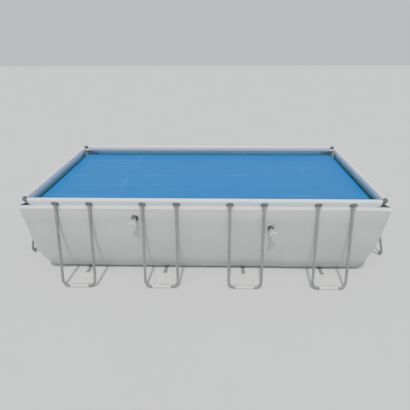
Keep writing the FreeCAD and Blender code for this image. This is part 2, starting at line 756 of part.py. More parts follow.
barrel_foot = "-barrel_height/2 - inlet_rise"
barrel = cylinder("barrel", "barrel_radius", "barrel_height", "z", 0, "-valve_stand", barrel_foot)
collar_ring = cylinder("barrel collar", "barrel_radius + 4", "14", "z", 0, "-valve_stand",
                       barrel_foot + " + barrel_height - 14")
foot_ring = cylinder("barrel foot ring", "barrel_radius + 2", "8", "z", 0, "-valve_stand", barrel_foot)
stub = cylinder("inlet stub", "21", "valve_stand - neck_reach", "y", 0, "-valve_stand")
stub_flange = cylinder("inlet flange", "27", "5", "y", 0, "-neck_reach - 5.5")
trimmed_stub = cut("inlet trimmed", fuse("inlet", stub, stub_flange),
                   cylinder("inlet face", "40", "10", "y", 0, "-neck_reach - 0.4"))
port_z = "-outlet_fall"
hollows = [
    cylinder("barrel hollow", "barrel_bore", "barrel_height - 7", "z", 0, "-valve_stand",
             barrel_foot + " + 3"),
    cylinder("inlet hollow", "inlet_bore", "valve_stand", "y", 0, "-valve_stand"),
    cylinder("stem hole", "stem_radius + stem_slack", "20", "z", 0, "-valve_stand",
             barrel_foot + " + barrel_height - 10"),
]


def valve_body(name, side):
    """The barrel with its hose port to the left (-1) or the right (1).

    The hose pushes up against the shoulder.
    """
    end = "-port_length" if side < 0 else "0"
    shoulder_end = "-port_shoulder" if side < 0 else "0"
    port = cylinder(name + " hose port", "port_radius", "port_length", "x", end, "-valve_stand", port_z)
    shoulder = cylinder(name + " hose shoulder", "port_radius + 3", "port_shoulder", "x",
                        shoulder_end, "-valve_stand", port_z)
    bore = cylinder(name + " port hollow", "port_bore", "port_length", "x", end, "-valve_stand", port_z)
    shell = fuse(name + " valve shell", barrel, collar_ring, foot_ring, trimmed_stub, shoulder, port)
    return cut(name + " valve body", shell, *hollows, bore)


piston_z = "-outlet_fall + port_bore + 2"
stem_top = barrel_foot + " + barrel_height + knob_height - 6"
piston = cylinder("piston", "barrel_bore - 0.05", "6", "z", 0, "-valve_stand", piston_z)
stem = cylinder("stem", "stem_radius", "%s - (%s)" % (stem_top, piston_z), "z", 0, "-valve_stand", piston_z)
plunger = fuse("plunger", piston, stem)

knob_foot = barrel_foot + " + barrel_height + 3"
knob_disc = cylinder("knob disc", "knob_radius", "14", "z", 0, "-valve_stand", knob_foot)
knob_cone = doc.addObject("Part::Cone", "knob cone")
bind(knob_cone, Radius1="knob_radius - 6", Radius2="15", Height="16")
place(knob_cone, 0, "-valve_stand", knob_foot + " + 14")
knob_top = cylinder("knob top", "14", "knob_height - 33", "z", 0, "-valve_stand", knob_foot + " + 30")
finger_cuts = []
for tooth in range(8):
    bite = cylinder("finger cut", "6", "20", "z", "knob_radius + 2", 0, knob_foot + " - 2")
    turned = group("finger cut turned", bite, turn=FreeCAD.Rotation(Z, 45.0 * tooth))
    finger_cuts.append(group("finger cut placed", turned, y="-valve_stand"))
knob_bore = cylinder("knob bore", "stem_radius + stem_slack", "knob_height - 6 + 0.5", "z", 0, "-valve_stand",
                     knob_foot + " - 3")
knob = cut("knob", fuse("knob body", knob_disc, knob_cone, knob_top), knob_bore, *finger_cuts)

placed = {"connector": [], "washers": [], "nuts": []}
for name, (x, height, port_side) in VALVES.items():
    spot = {"x": x, "y": "-%s" % patch_face(height), "z": height}
    group("valve_%s_body" % name, valve_body(name, port_side), **spot)
    group("valve_%s_plunger" % name, plunger, **spot)
    group("valve_%s_knob" % name, knob, **spot)
    group("valve_%s_union_nut" % name, union_nut, **spot)
    placed["connector"].append(group(name + " connector", connector, **spot))
    placed["washers"] += [group(name + " washer", washer, **spot) for washer in washers]
    placed["nuts"].append(group(name + " lock nut", lock_nut, **spot))
group("strainer_connectors", *placed["connector"])
group("rubber_washers", *placed["washers"])
group("lock_nuts", *placed["nuts"])


# ------------------------------------------------------------ drain valve
# A flanged neck through the back wall, with a screwed cap outside.

drain_flange = cylinder("drain flange", "34", "4", "y", 0, drain_face, "drain_level")
drain_neck = cylinder("drain neck", "drain_radius", "drain_patch + 36", "y",
                      0, drain_face + " - drain_patch - 4", "drain_level")
drain_hole = cylinder("drain bore", "drain_radius - 4", "drain_patch + 36", "y",
                      0, drain_face + " - drain_patch - 4", "drain_level")
cut("drain_valve", fuse("drain body", drain_flange, drain_neck), drain_hole)
cap_shell = cylinder("drain cap shell", "drain_cap_radius", "30", "y", 0, drain_face + " + 6", "drain_level")
cap_hollow = cylinder("drain cap hollow", "drain_radius + %s" % slack, "27", "y", 0, drain_face + " + 6",
                      "drain_level")
cap_grips = []
for tooth in range(10):
    grip = cylinder("drain cap grip", "2.5", "30", "y", "drain_cap_radius - 0.5")
    turned = group("drain cap grip turned", grip, turn=FreeCAD.Rotation(Y, 36.0 * tooth))
    cap_grips.append(group("drain cap grip placed", turned, y=drain_face + " + 6", z="drain_level"))
cut("drain_cap", fuse("drain cap body", cap_shell, *cap_grips), cap_hollow)


# ----------------------------------------------------------------- export

doc.recompute()
NODES = (
    ["corner_joint_" + name for name in CORNERS]
    + ["beam_%s_%d" % spot for spot in every_beam()]
    + ["support_%s_%d" % spot for spot in every_beam()]
    + ["leg_collars", "spring_clips", "rail_buttons"]
    + list(FACING)
    + ["liner_wall_" + side for side in SIDES]
    + ["liner_sleeve_" + side for side in SIDES]
    + ["liner_floor", "restraint_straps", "connecting_rods", "solar_cover"]
    + ["valve_%s_%s" % (name, piece) for name in VALVES for piece in ("body", "plunger", "knob", "union_nut")]
    + ["strainer_connectors", "rubber_washers", "lock_nuts", "drain_valve", "drain_cap"]
)
for thing in doc.Objects:
    if "Invalid" in thing.State or "Error" in thing.State:
        raise RuntimeError("%s did not build" % thing.Label)
os.makedirs("parts", exist_ok=True)
for node in NODES:
    found = doc.getObjectsByLabel(node)
    if len(found) != 1 or found[0].Shape.isNull() or not found[0].Shape.isValid():
        raise RuntimeError("%s has no valid shape" % node)
    found[0].Shape.exportStep("parts/%s.step" % node)
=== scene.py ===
import math
import bmesh
import bpy
import numpy as np
from mathutils import Euler, Matrix, Vector, noise


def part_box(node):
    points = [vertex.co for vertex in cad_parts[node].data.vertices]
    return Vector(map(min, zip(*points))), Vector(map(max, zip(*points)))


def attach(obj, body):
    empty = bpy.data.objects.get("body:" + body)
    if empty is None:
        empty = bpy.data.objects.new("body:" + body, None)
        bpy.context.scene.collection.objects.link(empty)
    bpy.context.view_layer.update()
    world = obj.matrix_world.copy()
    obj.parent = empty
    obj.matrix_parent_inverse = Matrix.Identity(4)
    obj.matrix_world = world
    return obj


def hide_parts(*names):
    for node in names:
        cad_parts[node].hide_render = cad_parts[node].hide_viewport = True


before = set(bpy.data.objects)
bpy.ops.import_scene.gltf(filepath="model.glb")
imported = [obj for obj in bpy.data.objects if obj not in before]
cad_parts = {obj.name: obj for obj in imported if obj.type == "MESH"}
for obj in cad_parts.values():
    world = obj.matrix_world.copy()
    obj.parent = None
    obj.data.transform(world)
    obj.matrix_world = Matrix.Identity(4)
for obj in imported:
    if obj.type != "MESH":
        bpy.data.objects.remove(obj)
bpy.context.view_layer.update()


# --------------------------------------------------------------- camera
# Somebody standing on a step ladder outside the long side with the two
# valves, looking down over the whole pool.
camera = bpy.data.objects.new("camera", bpy.data.cameras.new("camera"))
bpy.context.scene.collection.objects.link(camera)
look_down, look_left, lean = math.radians(34.1), math.radians(1.32), math.radians(-0.23)
upright = Euler((math.radians(90) - look_down, 0, look_left)).to_matrix()
camera.rotation_euler = (upright @ Matrix.Rotation(lean, 3, "Z")).to_euler()
camera.location = (0.23, -5.64, 3.35)
camera.data.sensor_width = 36.0
camera.data.lens = 27.9
camera.data.shift_x = -0.017
camera.data.shift_y = 0.106
bpy.context.scene.camera = camera


# ---------------------------------------------------------------- stage
# A pale studio floor under one high soft lamp that stands where a midday
# sun would, with a pale sky all round to fill the shadows.
class Shade:
    """A socket of a material's node tree that can be added, scaled and mixed."""

    def __init__(self, tree, socket):
        self.tree = tree
        self.socket = socket

    def node(self, kind, settings=(), out=0, **inputs):
        """Add a node. at_0, at_1 ... are inputs by their place, the others by name."""
        made = self.tree.nodes.new("ShaderNode" + kind)
        for setting, value in dict(settings).items():
            setattr(made, setting, value)
        for name, value in inputs.items():
            key = int(name[3:]) if name.startswith("at_") else name.replace("_", " ")
            if isinstance(value, Shade):
                self.tree.links.new(value.socket, made.inputs[key])
            else:
                made.inputs[key].default_value = value
        return Shade(self.tree, made.outputs[out])

    def maths(self, operation, other=0.0):
        return self.node("Math", {"operation": operation}, at_0=self, at_1=other)

    def __add__(self, other):
        return self.maths("ADD", other)

    def __sub__(self, other):
        return self.maths("SUBTRACT", other)

    def __mul__(self, other):
        return self.maths("MULTIPLY", other)

    def __rsub__(self, other):
        return self * -1.0 + other

    __radd__ = __add__
    __rmul__ = __mul__

    def away_from(self, line):
        return (self - line).maths("ABSOLUTE")

    def between(self, low, high):
        """0 at low, 1 at high, smooth in between; low may be the larger."""
        return self.node("MapRange", {"interpolation_type": "SMOOTHSTEP"},
                         Value=self, From_Min=low, From_Max=high)

    def colour(self, first, second):
        """A colour that goes from first to second as this goes from 0 to 1."""
        ends = [c if isinstance(c, Shade) else (*c, 1.0) for c in (first, second)]
        return self.node("Mix", {"data_type": "RGBA"}, out=2, at_0=self, at_6=ends[0], at_7=ends[1])

    def part(self, axis):
        return self.node("SeparateXYZ", out="XYZ".index(axis), Vector=self)

    def scaled(self, x, y, z):
        return self.node("Mapping", Vector=self, Scale=(x, y, z))

    def noise(self, scale, detail=3.0):
        return self.node("TexNoise", Vector=self, Scale=scale, Detail=detail)

    def bump(self, depth, strength=1.0):
        return self.node("Bump", Height=self, Distance=depth, Strength=strength)


def finish_of(name, paint):
    """A material; paint turns a place in metres into the surface's inputs."""
    made = bpy.data.materials.new(name)
    made.use_nodes = True
    tree = made.node_tree
    surface = tree.nodes["Principled BSDF"]
    place = Shade(tree, tree.nodes.new("ShaderNodeTexCoord").outputs["Object"])
    for key, value in paint(place).items():
        target = surface.inputs[key.replace("_", " ")]
        if isinstance(value, Shade):
            tree.links.new(value.socket, target)
        else:
            target.default_value = value
    return made


def paint_studio(place):
    cloud = place.noise(0.7, 5.0)
    return {
        "Base_Color": cloud.colour((0.60, 0.61, 0.60), (0.64, 0.65, 0.64)),
        "Roughness": 0.8 + cloud * 0.1,
        "Normal": place.noise(70.0).bump(0.0008),
    }


bpy.ops.mesh.primitive_plane_add(size=80)
studio = bpy.context.object
studio.name = "studio_floor"
studio.data.materials.append(finish_of("studio floor", paint_studio))
sun = bpy.data.objects.new("high_lamp", bpy.data.lights.new("high_lamp", "SUN"))
sun.data.energy = 3.4
sun.data.angle = math.radians(5)
sun.data.color = (1.0, 0.98, 0.94)
sun.rotation_euler = Vector((0.05, 0.38, -1.0)).to_track_quat("-Z", "Y").to_euler()
bpy.context.scene.collection.objects.link(sun)
sky = bpy.data.worlds.new("sky")
sky.use_nodes = True
sky.node_tree.nodes["Background"].inputs["Color"].default_value = (0.88, 0.93, 1.0, 1)
sky.node_tree.nodes["Background"].inputs["Strength"].default_value = 0.86
bpy.context.scene.world = sky


# ---------------------------------------------------------- liner walls
# The pool's skin is scrim-backed vinyl, welded into one bag and hung from
# the rail. Water swells it, its foot curls in to the ground, and it runs
# out to a point at each corner, where the welded edges of two sides meet.
MM = 0.001


def middle_of(node):
    low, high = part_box(node)
    return (low + high) / 2


rail_x = -middle_of("beam_left_1").x
rail_y = -middle_of("beam_front_1").y
rail_z = middle_of("beam_front_1").z
long_pitch = middle_of("support_front_2").x - middle_of("support_front_1").x
short_pitch = middle_of("support_right_2").y - middle_of("support_right_1").y

# Height, distance outside the rail's middle line, and corner radius.
skin_outline = [
    (0.0015, -0.105, 0.160), (0.012, -0.086, 0.164), (0.050, -0.050, 0.170), (0.170, 0.015, 0.170),
    (0.400, 0.060, 0.150), (0.650, 0.078, 0.120), (0.880, 0.070, 0.090), (1.040, 0.056, 0.060),
    (1.152, 0.016, 0.030), (1.200, 0.000, 0.025),
]
seam_z, band_foot_z = 1.200, 1.152
skin_thick = 1.6 * MM
ear_reach, ear_spread, ear_foot_z = 0.062, 0.26, 0.72
ear_lift = 0.016


def on_outline(height):
    """Distance outside the rail and corner radius, on a smooth line up the wall."""
    table = np.array(skin_outline)
    slopes = np.gradient(table[:, 1:], table[:, 0], axis=0)
    k = min(max(int(np.searchsorted(table[:, 0], height)) - 1, 0), len(table) - 2)
    span = table[k + 1, 0] - table[k, 0]
    t = (height - table[k, 0]) / span
    rise = t * t * (3 - 2 * t)
    return (table[k, 1:] * (1 - rise) + table[k + 1, 1:] * rise
            + t * (1 - t) ** 2 * span * slopes[k] - t * t * (1 - t) * span * slopes[k + 1])


def plan_loop(half_x, half_y, radius, long_count=150, short_count=68, per_corner=16):
    """(x, y, outward x, outward y) round a rectangle with round corners, anticlockwise."""
    loop = []
    straight_x, straight_y = half_x - radius, half_y - radius
    for sx, sy, start, count in ((1, -1, -90, short_count), (1, 1, 0, long_count),
                                 (-1, 1, 90, short_count), (-1, -1, 180, long_count)):
        for k in range(per_corner):
            angle = math.radians(start + 90 * k / (per_corner - 1))
            nx, ny = math.cos(angle), math.sin(angle)
            loop.append((sx * straight_x + radius * nx, sy * straight_y + radius * ny, nx, ny))
        x, y, nx, ny = loop[-1]
        run_x, run_y = -2 * straight_x * ny, 2 * straight_y * nx
        loop += [(x + run_x * k / count, y + run_y * k / count, nx, ny) for k in range(1, count)]
    return loop


def held(value):
    """The value, held between 0 and 1."""
    return min(1.0, max(0.0, value))


def ear(x, y, height):
    """How far the skin's corner stands out along the diagonal, as (x, y)."""
    near = math.hypot(rail_x - abs(x), rail_y - abs(y))
    lift = held((height - ear_foot_z) / (band_foot_z - ear_foot_z)) ** 2
    push = ear_reach * lift * max(0.0, 1 - near / ear_spread) ** 1.6
    return math.copysign(push, x), math.copysign(push, y)


fitting_spots = [middle_of(node) for node in ("valve_left_union_nut", "valve_right_union_nut", "drain_cap")]
fitting_hole = 0.036


def from_fitting(x, y, height):
    """How far a place on the skin is from the nearest fitting's middle line."""
    near = [math.hypot(x - spot.x, height - spot.z) for spot in fitting_spots
            if spot.y * y > 0 and abs(y) > rail_y - 0.3]
    return min(near, default=1.0)


def slack(x, y, height):
    """Folds and hollows in the skin; it lies flat round the fittings and at the seam."""
    around = 1.3 * x + y
    corner = math.exp(-(((rail_x - abs(x)) ** 2 + (rail_y - abs(y)) ** 2) / 0.36**2))
    turn = math.atan2(rail_y - 0.40 - abs(y), rail_x - 0.40 - abs(x))
    under_legs = min(1.0, max(0.15, (1.04 - height) / 0.30))
    swell = (noise.noise((x * 1.1, y * 1.1, height * 1.3 + 7)) * 12
             + noise.noise((around * 3.2, height * 2.1, 4.0)) * 7)
    near_seam = math.exp(-((seam_z - height) / 0.16) ** 2)
    pucker = noise.noise((around * 11, height * 1.5, 2.0)) * 3.0 * near_seam
    waver = 1.5 * noise.noise((x, y, height * 4))
    gather = math.cos(turn * 20 + waver) * 7 * corner * math.exp(-height / 0.20)
    drape = noise.noise((x * 4.5, y * 4.5, height * 1.6)) * 13 * corner
    foot_fold = noise.noise((around * 4.5, 3.0, height * 7)) * 8 * math.exp(-((height - 0.09) / 0.10) ** 2)
    flat = held((from_fitting(x, y, height) - 0.08) / 0.16)
    free = min(1.0, (seam_z - height) / 0.05) * min(1.0, height / 0.03) * flat
    return free * (swell * under_legs + pucker + gather + drape + foot_fold) * MM


def skin_ring(height, out=0.0, lift=0.0):
    """One level loop of the skin, out from its outer face."""
    offset, radius = on_outline(height)
    ring = []
    for x, y, nx, ny in plan_loop(rail_x + offset, rail_y + offset, radius):
        ear_x, ear_y = ear(x, y, height)
        push = out + slack(x, y, height)
        raised = lift * math.hypot(ear_x, ear_y) / ear_reach
        ring.append((x + nx * push + ear_x, y + ny * push + ear_y, height + raised))
    return ring


def grid_piece(name, rows, round_trip=True, left_out=(), ends_filled=False):
    """A mesh piece from rows of equally many points; left_out are faces to omit."""
    across = len(rows[0])
    turn = across if round_trip else across - 1
    faces = [(r * across + c, r * across + (c + 1) % across,
              (r + 1) * across + (c + 1) % across, (r + 1) * across + c)
             for r in range(len(rows) - 1) for c in range(turn) if (r, c) not in left_out]
    if ends_filled:
        faces.append(tuple((len(rows) - 1) * across + c for c in range(across)))
    mesh = bpy.data.meshes.new(name)
    mesh.from_pydata([tuple(point) for row in rows for point in row], [], faces)
    used = {corner for face in faces for corner in face}
    if len(used) < len(mesh.vertices):
        keep_used(mesh, used)
    mesh.polygons.foreach_set("use_smooth", [True] * len(mesh.polygons))
    made = bpy.data.objects.new(name, mesh)
    bpy.context.scene.collection.objects.link(made)
    return made


def keep_used(mesh, used):
    """Delete the points that no face uses."""
    work = bmesh.new()
    work.from_mesh(mesh)
    work.verts.ensure_lookup_table()
    loose = [point for point in work.verts if point.index not in used]
    bmesh.ops.delete(work, geom=loose, context="VERTS")
    work.to_mesh(mesh)
    work.free()


def path_length(path):
    return sum(math.dist(a, b) for a, b in zip(path, path[1:]))


def thicken(piece, thickness, offset=-1.0):
    solid = piece.modifiers.new("thickness", "SOLIDIFY")
    solid.thickness = thickness
    solid.offset = offset
    return piece


def belongs(piece, finish, body="pool"):
    """Give a piece its finish and the body it moves with."""
    piece.data.materials.append(finish)
    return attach(piece, body)


levels = np.concatenate([np.linspace(0.0015, 0.05, 9), np.linspace(0.07, 1.02, 40),
                         np.linspace(1.04, seam_z, 12)])
skin_rows = [skin_ring(z, lift=ear_lift) for z in levels]
cut_out = {(r, c) for r, row in enumerate(skin_rows) for c, point in enumerate(row)
           if from_fitting(*point) < fitting_hole}
walls = thicken(grid_piece("liner_walls", skin_rows, left_out=cut_out), skin_thick)
weld_lines = (-1.34, 1.34)


def paint_skin(place):
    height, along = place.part("Z"), place.part("X")
    cloud = place.noise(1.6, 4.0)
    scrim = place.noise(430.0, 1.0)
    weld = (along.away_from(weld_lines[0]).between(0.013, 0.011)
            + along.away_from(weld_lines[1]).between(0.013, 0.011))
    normal = place.node("NewGeometry", out=1)
    middle = place.node("VectorMath", {"operation": "MULTIPLY"}, at_0=place, at_1=(0.49, 1.0, 0.0))
    inside = place.node("VectorMath", {"operation": "DOT_PRODUCT"}, out=1, at_0=normal, at_1=middle)
    outer = cloud.between(0.3, 0.7).colour((0.44, 0.455, 0.435), (0.49, 0.505, 0.485))
    welded = (weld * 0.35).colour(outer, (0.55, 0.565, 0.55))
    # Painted shade: the wall's colour is darkened towards the ground, where the skin curls under.
    shaded_low = ((height + cloud * 0.12).between(0.46, 0.04) * 0.7).colour(welded, (0.27, 0.285, 0.28))
    relief = scrim * 0.35 + place.noise(16.0, 5.0) * 0.8 + weld * 0.4
    past_x = along.maths("ABSOLUTE") - (rail_x - ear_spread)
    past_y = place.part("Y").maths("ABSOLUTE") - (rail_y - ear_spread)
    in_ear = past_x.maths("MINIMUM", past_y).between(0.0, 0.02) * height.between(1.09, 1.13)
    return {
        "Base_Color": (inside.between(0.02, -0.02) * (1 - in_ear)).colour(shaded_low, (0.36, 0.66, 0.76)),
        "Roughness": 0.40 + cloud * 0.14,
        "Normal": relief.bump(0.8 * MM, 0.7),
    }


belongs(walls, finish_of("grey wall vinyl", paint_skin))
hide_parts("liner_wall_front", "liner_wall_back", "liner_wall_left", "liner_wall_right")
waist_row = skin_rows[len(skin_rows) // 2]
once_round = path_length(waist_row + waist_row[:1])

# A thick round patch is welded on where each fitting goes through.
valve_patch = (0.060, 0.0244)
patch_sizes = {"valve_left_body": valve_patch, "valve_right_body": valve_patch,
               "drain_valve": (0.040, 0.0204)}
valve_patch_thick, drain_patch_thick = 0.032, 0.026
inlet_reach = 46.4 * MM


def patch_ring(centre, radius, hole, outer_y, inner_y):
    """A disc with a hole, its outer rim rounded over."""
    edge = 0.002 * (1 if outer_y > 0 else -1)
    section = [(hole, outer_y), (radius - 0.004, outer_y), (radius - 0.001, outer_y - edge),
               (radius, inner_y), (hole, inner_y)]
    rows = []
    for reach, y in section:
        turns = [2 * math.pi * k / 72 for k in range(72)]
        rows.append([(centre.x + reach * math.cos(a), y, centre.z + reach * math.sin(a)) for a in turns])
    return rows + [rows[0]]


for (node, (radius, hole)), spot in zip(patch_sizes.items(), fitting_spots):
    if node == "drain_valve":
        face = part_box("drain_cap")[0].y - 0.006
        rows = patch_ring(spot, radius, hole, face, face - drain_patch_thick)
    else:
        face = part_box(node)[1].y + inlet_reach
        rows = patch_ring(spot, radius, hole, face, face + valve_patch_thick)
    patch = grid_piece("patch_" + node, rows[::1 if node == "drain_valve" else -1])
    belongs(patch, bpy.data.materials["grey wall vinyl"])


# ---------------------------------------------------------- liner floor
# The bag's bottom is one blue panel on the ground, welded to the walls.
# A grey tab, darkened with painted shade, runs out from it for every support and loops round a rod.
ground_thick = 2.6 * MM
foot_offset, foot_radius = on_outline(0.0015)
ground_rows = []
for share in (1.0, 0.994, 0.93, 0.75, 0.5, 0.25, 0.03):
    loop = plan_loop(rail_x + foot_offset, rail_y + foot_offset, foot_radius)
    ground_rows.append([(x * share, y * share, ground_thick) for x, y, nx, ny in loop])
panel = thicken(grid_piece("liner_floor_panel", ground_rows, ends_filled=True), ground_thick)


def paint_panel(place):
    cloud = place.noise(2.2, 5.0)
    pebble = place.noise(55.0, 1.0)
    return {
        "Base_Color": cloud.colour((0.16, 0.46, 0.64), (0.22, 0.54, 0.70)),
        "Roughness": 0.34 + pebble * 0.16,
        "Normal": (pebble + cloud * 2.0).bump(0.8 * MM),
    }


belongs(panel, finish_of("blue floor vinyl", paint_panel))
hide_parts("liner_floor")
2 * (rail_x + foot_offset)
2 * (rail_y + foot_offset)

sides = {
    "front": ((0, -rail_y), (1, 0), (0, -1), 4, long_pitch),
    "back": ((0, rail_y), (-1, 0), (0, 1), 4, long_pitch),
    "left": ((-rail_x, 0), (0, -1), (-1, 0), 2, short_pitch),
    "right": ((rail_x, 0), (0, 1), (1, 0), 2, short_pitch),
}


def support_middles(side):
    """(number, place along the side) of its supports, left to right from outside."""
    count, pitch = sides[side][3:]
    return [(k + 1, pitch * (k - (count - 1) / 2)) for k in range(count)]


def by_side(side, along, out, height):
    """A point along a side, out from the rail's middle line, at a height."""
    start, right, outward = sides[side][:3]
    return (start[0] + right[0] * along + outward[0] * out,
            start[1] + right[1] * along + outward[1] * out, height)


rod_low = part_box("connecting_rods")[0]
foot_low, foot_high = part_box("support_front_1")
tube_radius = 22.5 * MM
rod_radius = 6.0 * MM
rod_out = -rod_low.y - rail_y - rod_radius
foot_out = -foot_low.y - rail_y - tube_radius
foot_z = foot_low.z + tube_radius
webbing = 2.4 * MM
webbing_z = 0.1 * MM + webbing / 2
tuck = 0.05 * MM


def bar_loop(bar_out, bar_z, bar_radius, towards, lap):
    """(out, height) of webbing round a bar, from under it over to the far lap's end."""
    reach = bar_radius + 0.5 * MM + webbing / 2
    points = []
    for step in range(21):
        angle = math.radians(-90 + step * 15)
        height = max(bar_z + reach * math.sin(angle), webbing_z)
        points.append((bar_out + towards * reach * math.cos(angle), height))
    last_out = points[-1][0]
    lap_z = webbing_z + webbing + tuck
    while points[-1][1] < lap_z + 0.4 * MM:
        points.pop()
    points.append((last_out - towards * 0.012, lap_z + 0.2 * MM))
    points.append((last_out - towards * (0.012 + lap), lap_z))
    return points


def ribbon(name, side, middle, path, half_width, ripple=0.0, notch=None):
    """Webbing laid along an (out, height) path across one support."""
    notch_edges = {-notch[0], notch[0]} if notch else set()
    stops = sorted({round(half_width * k / 10, 5) for k in range(-10, 11)} | notch_edges)
    rows, left_out = [], set()
    for number, (out, height) in enumerate(path):
        row = []
        for place, across in enumerate(stops):
            wave = max(0.0, noise.noise((across * 9 + middle * 3, out * 14, len(side)))) * ripple
            rise = wave if height < 2 * webbing_z else 0.0
            row.append(by_side(side, middle + across, out, height + rise))
            if notch and place + 1 < len(stops) and number + 1 < len(path):
                inside = abs((across + stops[place + 1]) / 2) < notch[0]
                if inside and max(out, path[number + 1][0]) < notch[1]:
                    left_out.add((number, place))
        rows.append(row)
    made = grid_piece(name, rows, round_trip=False, left_out=left_out)
    return thicken(made, webbing, 0.0)


def paint_tab(place):
    weave = place.noise(500.0, 1.0)
    return {
        # The tab's grey vinyl is painted darker, as painted shade where it shows through the straps'
        # notches.
        "Base_Color": place.noise(12.0).colour((0.17, 0.175, 0.17), (0.22, 0.225, 0.22)),
        "Roughness": 0.6 + weave * 0.2,
        "Normal": weave.bump(0.5 * MM),
    }


tab_half, tab_root = 32.0 * MM, foot_offset + 0.025
tab_vinyl = finish_of("tab vinyl with painted shade", paint_tab)
rod_z = middle_of("connecting_rods").z
for side in sides:
    for number, middle in support_middles(side):
        path = [(tab_root + (rod_out - tab_root) * k / 12, webbing_z) for k in range(12)]
        path += bar_loop(rod_out, rod_z, rod_radius, 1, 0.018)
        tab = ribbon("floor_tab_%s_%d" % (side, number), side, middle, path, tab_half)
        belongs(tab, tab_vinyl)
        2 * tab_half


# ----------------------------------------------------- restraint straps
# Wide pale webbing holds each support's foot in. One end is folded round
# the foot bar and the other round a moulded rod, with a notch in its
# middle where the floor's tab comes through to the same rod.
strap_half = 0.145
notch_half, notch_out = 35.0 * MM, rod_out + 30.0 * MM


def paint_strap(place):
    weave = place.node("TexWave", {"bands_direction": "DIAGONAL"}, out=1,
                       Vector=place, Scale=160.0, Distortion=1.5)
    stain = place.noise(7.0, 5.0)
    return {
        "Base_Color": stain.between(0.42, 0.72).colour((0.66, 0.665, 0.645), (0.60, 0.60, 0.575)),
        "Roughness": 0.58 + stain * 0.2,
        "Normal": (place.noise(420.0, 1.0) + stain * 1.5 + weave * 0.1).bump(0.6 * MM),
    }


strap_cloth = finish_of("pale strap webbing", paint_strap)
for side in sides:
    for number, middle in support_middles(side):
        at_rod = bar_loop(rod_out, rod_z, rod_radius, -1, 0.030)[::-1]
        at_foot = bar_loop(foot_out, foot_z, tube_radius, 1, 0.055)
        run = [(rod_out + (foot_out - rod_out) * k / 18, webbing_z) for k in range(1, 18)]
        path = at_rod + run + at_foot
        strap = ribbon("strap_%s_%d" % (side, number), side, middle, path, strap_half,
                       ripple=7 * MM, notch=(notch_half, notch_out))
        belongs(strap, strap_cloth)
        "support_%s_%d" % (side, number)
        if (side, number) == ("front", 1):
            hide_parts("restraint_straps")


# ------------------------------------------------------ sleeves and band
# The top of the skin is folded over each beam and welded back on itself.
# Every leg comes out through a window, and a white tape covers the weld.
sleeve_radius, sleeve_thick = 32.8 * MM, 2.2 * MM
sleeve_tip_out, sleeve_drop = 3.4 * MM, rail_z - seam_z
leg_half = (foot_high.x - foot_low.x) / 2 - tube_radius
collar_half, tube_half = 53.0 * MM, 26.0 * MM
window_top, collar_top, window_foot = 0.012, 0.036, 0.081
inner_belly = 9.0 * MM


def drop_section():
    """(out, down) round the sleeve's outer face, from the inner tip over to the outer."""
    tangent = math.asin((sleeve_radius - sleeve_tip_out) / sleeve_drop)
    touch = (sleeve_radius * math.cos(tangent * 0.9), sleeve_radius * math.sin(tangent * 0.9))
    drops = [touch[1], 0.018, 0.026, collar_top, 0.048, 0.060, 0.071, window_foot, sleeve_drop]
    ply = [(touch[0] + (sleeve_tip_out - touch[0]) * (d - touch[1]) / (sleeve_drop - touch[1]), d)
           for d in drops]
    start = math.atan2(touch[1], touch[0])
    arc = [start - (math.pi + 2 * start) * k / 28 for k in range(1, 28)]
    over = [(sleeve_radius * math.cos(a), sleeve_radius * math.sin(a)) for a in arc]
    return [(-out, down) for out, down in ply[::-1]] + over[::-1] + ply


def paint_sleeve(place):
    cloud = place.noise(2.4, 4.0)
    height = place.part("Z")
    weld = height.away_from(seam_z + 0.022).between(0.004, 0.002)
    relief = place.noise(400.0, 1.0) * 0.4 + place.noise(20.0, 4.0) * 0.8 - weld * 0.8
    return {
        "Base_Color": cloud.colour((0.80, 0.845, 0.85), (0.85, 0.885, 0.89)),
        "Roughness": 0.32 + cloud * 0.14,
        "Coat_Weight": 0.12,
        "Normal": relief.bump(0.8 * MM, 0.7),
    }


sleeve_vinyl = finish_of("pale sleeve vinyl", paint_sleeve)
section = drop_section()
for side, (start, right, outward, count, pitch) in sides.items():
    half = count * pitch / 2 - 0.5 * MM
    legs = [middle + s * leg_half for number, middle in support_middles(side) for s in (-1, 1)]
    edges = [leg + s * reach for leg in legs for s in (-1, 1) for reach in (tube_half, collar_half)]
    plain = [s for s in np.linspace(-half, half, int(half * 76)) if min(abs(s - e) for e in edges) > 0.006]
    stops = sorted(plain + edges)
    rows, left_out = [], set()
    for number, along in enumerate(stops):
        row = []
        for place, (out, down) in enumerate(section):
            free = held((down - 0.010) / 0.03) * held((sleeve_drop - down) / 0.02)
            tug = min(1.0, min(abs(along - leg) for leg in legs) / 0.12)
            ripple = noise.noise((along * 13, down * 20, 5.0 if out > 0 else 9.0)) * 2.6 * MM
            belly = inner_belly * free if out < 0 else 1.5 * MM * free
            row.append(by_side(side, along, out + ripple * free * tug - belly, rail_z - down))
            if place + 1 < len(section) and number + 1 < len(stops):
                deep = (down + section[place + 1][1]) / 2
                near = min(abs((along + stops[number + 1]) / 2 - leg) for leg in legs)
                open_half = collar_half if deep > collar_top else tube_half
                outer_ply = out > 0 and section[place + 1][0] > 0
                if outer_ply and window_top < deep < window_foot and near < open_half:
                    left_out.add((number, place))
        rows.append(row)
    sleeve = thicken(grid_piece("sleeve_" + side, rows, round_trip=False, left_out=left_out), sleeve_thick)
    belongs(sleeve, sleeve_vinyl)
    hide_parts("liner_sleeve_" + side)
    2 * half
    "beam_%s_1" % side


def paint_tape(place):
    cloud = place.noise(6.0, 4.0)
    ribs = (place.part("Z") * 1900.0).maths("SINE")
    return {
        "Base_Color": cloud.colour((0.84, 0.855, 0.86), (0.89, 0.90, 0.905)),
        "Roughness": 0.34 + cloud * 0.12,
        "Normal": (ribs * 0.3 + cloud).bump(0.5 * MM),
    }


